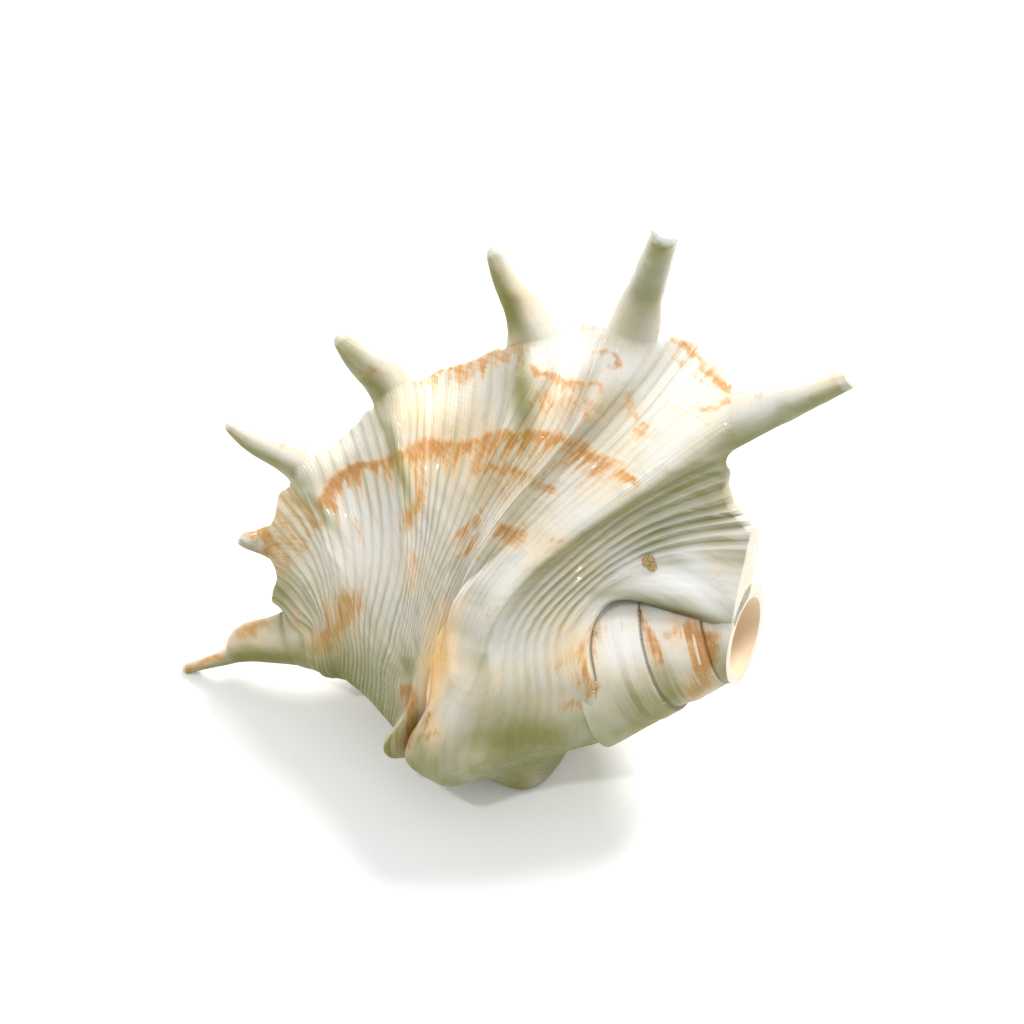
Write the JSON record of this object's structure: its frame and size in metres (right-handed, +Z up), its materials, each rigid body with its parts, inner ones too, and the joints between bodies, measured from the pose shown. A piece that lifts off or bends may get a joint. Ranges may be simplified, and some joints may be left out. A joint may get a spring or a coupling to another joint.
{
  "type": "spider conch shell",
  "caption": "Large winged sea shell with long fingers on its lip, a ribbed back and a spire sawn off to leave an oval hole.",
  "frame": {"origin": "centre of the bounding box in plan, at the ground the shell rests on", "axes": "+Z up from the ground, +X from the canal to the sawn spire as seen by the viewer, -Y towards the viewer, who sees the ribbed back"},
  "size_m": [0.2746, 0.1526, 0.2252],
  "materials": {
    "shell": "glossy cream shell, orange-brown patches and faint grey-green grooves; mass is stated for aragonite"
  },
  "bodies": {
    "root": {"shell": "shell"}
  },
  "joints": []
}
